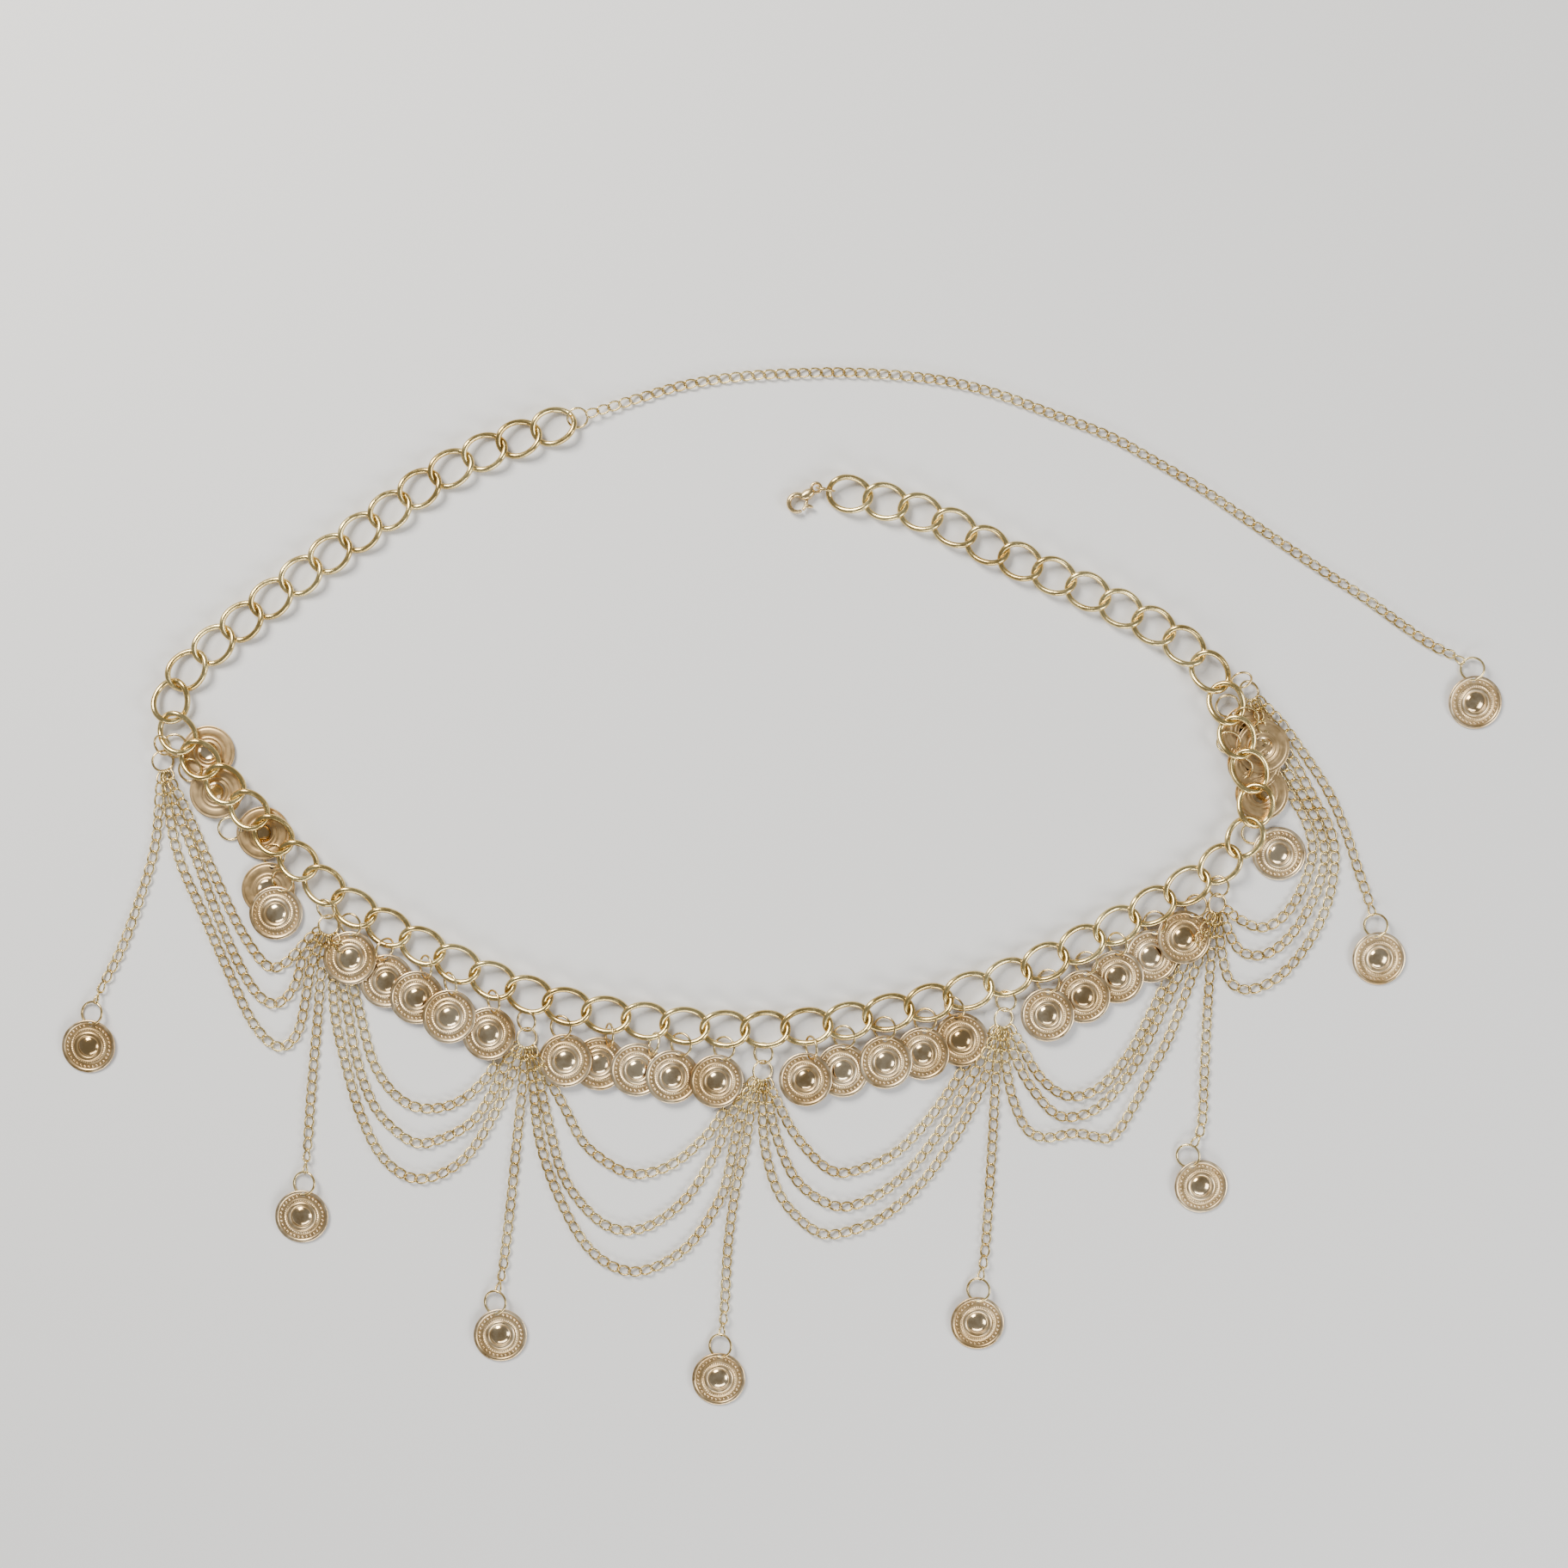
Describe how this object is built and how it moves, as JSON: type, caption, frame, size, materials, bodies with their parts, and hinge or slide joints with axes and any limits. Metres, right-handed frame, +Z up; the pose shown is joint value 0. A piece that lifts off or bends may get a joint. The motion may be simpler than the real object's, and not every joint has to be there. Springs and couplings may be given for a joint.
{
  "type": "waist chain",
  "caption": "Metal coin waist chain laid flat: heavy curb chain with lapped coins, thin festoon chains, hanging end coins, lobster clasp and an extension chain.",
  "frame": {"origin": "centre of the bounding box at the surface that the chain lies on", "axes": "+X to the picture's right, +Y to the picture's top, +Z up from the surface"},
  "size_m": [0.486, 0.3503, 0.0072],
  "materials": {
    "heavy_chain": "polished pale gold plate",
    "coin": "satin pale gold plate with a polished dome",
    "ring": "polished pale gold plate",
    "thin_chain": "polished pale gold plate",
    "clasp": "polished pale gold plate"
  },
  "bodies": {
    "chain": {"main_chain_1": "heavy_chain", "main_chain_2": "heavy_chain", "main_chain_3": "heavy_chain", "main_chain_4": "heavy_chain", "main_chain_5": "heavy_chain", "main_chain_6": "heavy_chain", "hub_1": "ring", "hub_2": "ring", "hub_3": "ring", "hub_4": "ring", "hub_5": "ring", "hub_6": "ring", "hub_7": "ring", "extension_ring": "ring", "clasp_ring": "ring", "festoon_1_inner": "thin_chain", "festoon_1_middle": "thin_chain", "festoon_1_outer": "thin_chain", "festoon_2_inner": "thin_chain", "festoon_2_middle": "thin_chain", "festoon_2_outer": "thin_chain", "festoon_3_inner": "thin_chain", "festoon_3_middle": "thin_chain", "festoon_3_outer": "thin_chain", "festoon_4_inner": "thin_chain", "festoon_4_middle": "thin_chain", "festoon_4_outer": "thin_chain", "festoon_5_inner": "thin_chain", "festoon_5_middle": "thin_chain", "festoon_5_outer": "thin_chain", "festoon_6_inner": "thin_chain", "festoon_6_middle": "thin_chain", "festoon_6_outer": "thin_chain", "drop_1": "thin_chain", "drop_2": "thin_chain", "drop_3": "thin_chain", "drop_4": "thin_chain", "drop_5": "thin_chain", "drop_6": "thin_chain", "drop_7": "thin_chain", "extension_chain": "thin_chain", "coin_row_2": "coin", "coin_row_3": "coin", "coin_row_4": "coin", "coin_row_5": "coin", "coins_1_upper": "coin", "coins_1_lower": "coin", "coins_6_upper": "coin", "coins_6_lower": "coin", "clasp_body": "clasp"},
    "end_coin_1": {"drop_coin_1": "coin"},
    "end_coin_2": {"drop_coin_2": "coin"},
    "end_coin_3": {"drop_coin_3": "coin"},
    "end_coin_4": {"drop_coin_4": "coin"},
    "end_coin_5": {"drop_coin_5": "coin"},
    "end_coin_6": {"drop_coin_6": "coin"},
    "end_coin_7": {"drop_coin_7": "coin"},
    "extension_end_coin": {"extension_coin": "coin"},
    "lever": {"clasp_lever": "clasp"}
  },
  "joints": [
    {"name": "end_coin_1_swing", "type": "hinge", "parent": "chain", "child": "end_coin_1", "pos_m": [-0.23175, -0.03893, 0.0004], "axis": [-0.9867, 0.1625, 0], "range_deg": [0, 100]},
    {"name": "end_coin_2_swing", "type": "hinge", "parent": "chain", "child": "end_coin_2", "pos_m": [-0.16099, -0.0962, 0.0004], "axis": [-0.9968, 0.0803, 0], "range_deg": [0, 100]},
    {"name": "end_coin_3_swing", "type": "hinge", "parent": "chain", "child": "end_coin_3", "pos_m": [-0.09599, -0.13643, 0.0004], "axis": [-0.9984, -0.0571, 0], "range_deg": [0, 100]},
    {"name": "end_coin_4_swing", "type": "hinge", "parent": "chain", "child": "end_coin_4", "pos_m": [-0.02042, -0.15106, 0.0004], "axis": [-0.9979, 0.0642, 0], "range_deg": [0, 100]},
    {"name": "end_coin_5_swing", "type": "hinge", "parent": "chain", "child": "end_coin_5", "pos_m": [0.06694, -0.13221, 0.0004], "axis": [-0.998, 0.063, 0], "range_deg": [0, 100]},
    {"name": "end_coin_6_swing", "type": "hinge", "parent": "chain", "child": "end_coin_6", "pos_m": [0.13865, -0.08728, 0.0004], "axis": [-0.9799, -0.1996, 0], "range_deg": [0, 100]},
    {"name": "end_coin_7_swing", "type": "hinge", "parent": "chain", "child": "end_coin_7", "pos_m": [0.19938, -0.00925, 0.0004], "axis": [-0.9894, -0.1451, 0], "range_deg": [0, 100]},
    {"name": "extension_coin_swing", "type": "hinge", "parent": "chain", "child": "extension_end_coin", "pos_m": [0.2299, 0.07584, 0.0004], "axis": [-0.9554, -0.2953, 0], "range_deg": [0, 100]},
    {"name": "clasp_lever_pivot", "type": "hinge", "parent": "chain", "child": "lever", "pos_m": [0.00837, 0.12985, 0.0016], "axis": [0, 0, -1], "range_deg": [0, 22], "stiffness_Nm_per_rad": 0.002, "springref_deg": -9.74}
  ]
}
